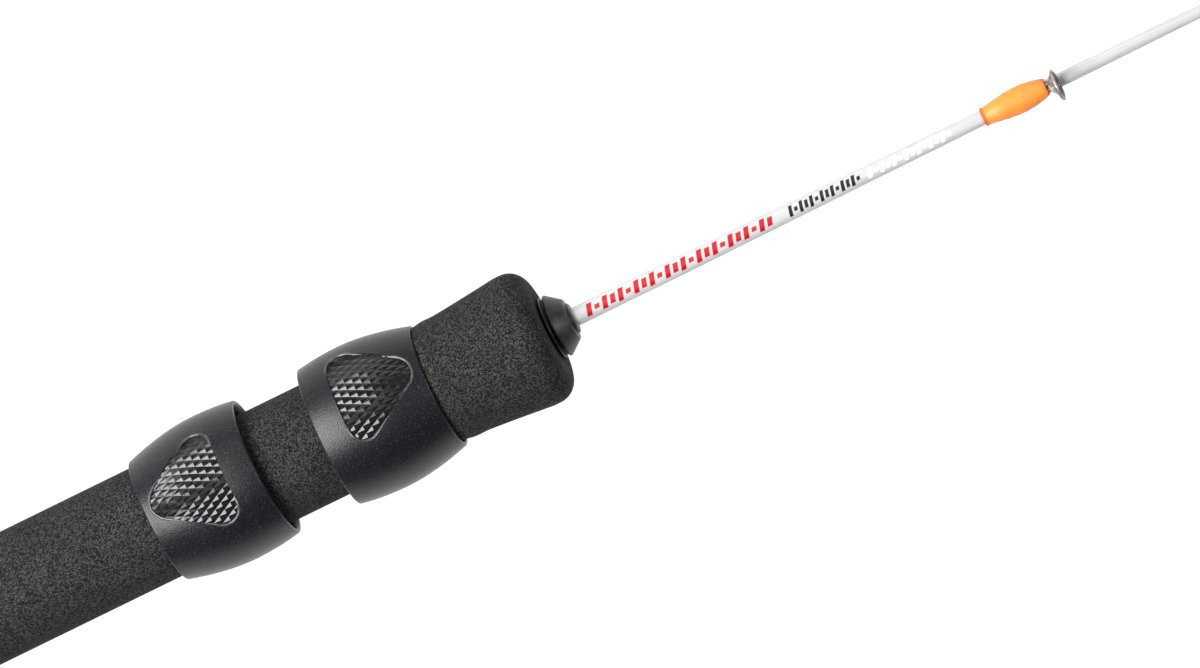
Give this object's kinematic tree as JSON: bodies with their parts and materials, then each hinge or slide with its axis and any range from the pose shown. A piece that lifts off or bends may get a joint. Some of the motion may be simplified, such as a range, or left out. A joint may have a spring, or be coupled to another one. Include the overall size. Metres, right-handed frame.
{
  "type": "ice fishing rod",
  "caption": "Short ice fishing rod with a foam grip, two sliding reel rings, a tapered translucent blank and small line guides held by elastic sleeves.",
  "frame": {"origin": "centre of the butt plug's flat end face, on the rod's axis", "axes": "+X along the rod from the butt to the tip, +Z to the side that the line guides and the reel are on"},
  "size_m": [0.4, 0.0286, 0.0286],
  "materials": {
    "eva_foam": "matte",
    "core_fibreglass": "matte",
    "black_rubber": "satin",
    "moulded_black": "satin",
    "white_fibreglass": "gloss",
    "orange_elastic": "satin",
    "steel": "satin",
    "grey_ceramic": "gloss"
  },
  "bodies": {
    "rod": {"foam_grip": "eva_foam", "core_tube": "core_fibreglass", "rear_arbor": "core_fibreglass", "front_arbor": "core_fibreglass", "butt_plug": "black_rubber", "winding_check": "black_rubber", "rod_blank": "white_fibreglass", "guide_1_frame": "steel", "guide_1_insert": "grey_ceramic", "guide_1_sleeve": "orange_elastic", "guide_2_frame": "steel", "guide_2_insert": "grey_ceramic", "guide_2_sleeve": "orange_elastic", "guide_3_frame": "steel", "guide_3_insert": "grey_ceramic", "guide_3_sleeve": "orange_elastic", "tip_top_frame": "steel", "tip_top_insert": "grey_ceramic"},
    "rear_ring": {"rear_reel_ring": "moulded_black"},
    "front_ring": {"front_reel_ring": "moulded_black"}
  },
  "joints": [
    {"name": "rear_ring_slide", "type": "slide", "parent": "rod", "child": "rear_ring", "axis": [1, 0, 0], "range_m": [-0.055, 0.006]},
    {"name": "front_ring_slide", "type": "slide", "parent": "rod", "child": "front_ring", "axis": [1, 0, 0], "range_m": [-0.006, 0.0005]}
  ]
}
